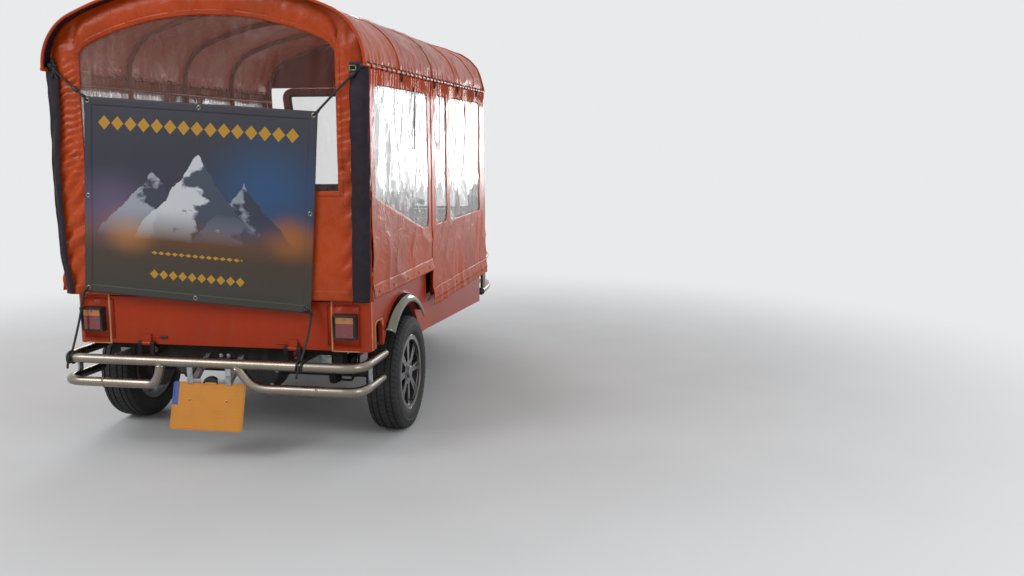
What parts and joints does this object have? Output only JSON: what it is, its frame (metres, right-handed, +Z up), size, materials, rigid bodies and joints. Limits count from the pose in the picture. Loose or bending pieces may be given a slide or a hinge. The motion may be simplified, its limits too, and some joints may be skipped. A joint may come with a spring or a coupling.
{
  "type": "auto rickshaw",
  "caption": "Three-wheeled passenger rickshaw with a steel lower body, hooped soft canopy, clear-windowed weather curtains and tubular bumpers.",
  "frame": {"origin": "on the ground, midway along and across the vehicle", "axes": "+X forward, +Y to the vehicle's left, +Z up"},
  "size_m": [3.2525, 1.503, 2.05],
  "materials": {
    "red_paint": "glossy orange-red paint",
    "black_paint": "satin black paint",
    "inner_paint": "dark underbody and floor paint",
    "chrome": "polished tube",
    "galvanised": "dull zinc",
    "alloy": "machined and lacquered",
    "tyre": "worn matt rubber",
    "canopy_fabric": "glossy coated canopy cloth",
    "clear_sheet": "soft clear sheet, crinkled",
    "banner_print": "printed banner cloth",
    "black_plastic": "moulded black",
    "black_elastic": "black elastic",
    "amber_lens": "amber lens",
    "red_lens": "red lens",
    "plate_yellow": "yellow plate, blank",
    "glass": "laminated glass",
    "seat_vinyl": "black vinyl",
    "cast": "dull cast metal",
    "steel": "dark steel"
  },
  "bodies": {
    "body": {"chassis_frame": "black_paint", "floor_pan": "inner_paint", "quarter_panel_left": "red_paint", "quarter_panel_right": "red_paint", "sills": "red_paint", "rear_header": "red_paint", "arch_trims": "chrome", "lamp_housings": "black_plastic", "lamp_lenses_amber": "amber_lens", "lamp_lenses_red": "red_lens", "rear_bumper": "chrome", "rear_brackets": "galvanised", "number_plate": "plate_yellow", "canopy_frame": "red_paint", "roof_canopy": "canopy_fabric", "rear_curtain": "canopy_fabric", "side_curtains_rear": "canopy_fabric", "side_curtains_front": "canopy_fabric", "curtain_windows": "clear_sheet", "banner": "banner_print", "banner_ties": "black_elastic", "windscreen_frame": "red_paint", "windscreen_glass": "glass", "front_cowl": "red_paint", "headlamps": "chrome", "front_bumper": "chrome", "mirrors": "black_plastic", "dashboard": "black_plastic", "driver_seat": "seat_vinyl", "bench_front": "seat_vinyl", "bench_rear": "seat_vinyl", "engine": "cast", "exhaust": "steel", "rear_axle": "steel", "leaf_springs": "steel"},
    "tailgate": {"tailgate": "red_paint"},
    "steering": {"front_fork": "black_paint", "handlebar": "steel", "front_mudguard": "red_paint"},
    "front_wheel": {"front_tyre": "tyre", "front_rim": "alloy"},
    "rear_wheel_left": {"rear_tyre_left": "tyre", "rear_rim_left": "alloy"},
    "rear_wheel_right": {"rear_tyre_right": "tyre", "rear_rim_right": "alloy"}
  },
  "joints": [
    {"name": "steering_turn", "type": "hinge", "parent": "body", "child": "steering", "pos_m": [1.1951, 0, 0.274], "axis": [-0.4067, 0, 0.9135], "range_deg": [-35, 35]},
    {"name": "front_wheel_spin", "type": "hinge", "parent": "steering", "child": "front_wheel", "pos_m": [1.2351, 0, 0.274], "axis": [0, 1, 0], "continuous": true},
    {"name": "rear_left_wheel_spin", "type": "hinge", "parent": "body", "child": "rear_wheel_left", "pos_m": [-0.9649, 0.673, 0.274], "axis": [0, 1, 0], "continuous": true},
    {"name": "rear_right_wheel_spin", "type": "hinge", "parent": "body", "child": "rear_wheel_right", "pos_m": [-0.9649, -0.673, 0.274], "axis": [0, 1, 0], "continuous": true},
    {"name": "tailgate_drop", "type": "hinge", "parent": "body", "child": "tailgate", "pos_m": [-1.4669, 0, 0.48], "axis": [0, -1, 0], "range_deg": [0, 90], "deforming": ["banner", "banner_ties"]}
  ]
}
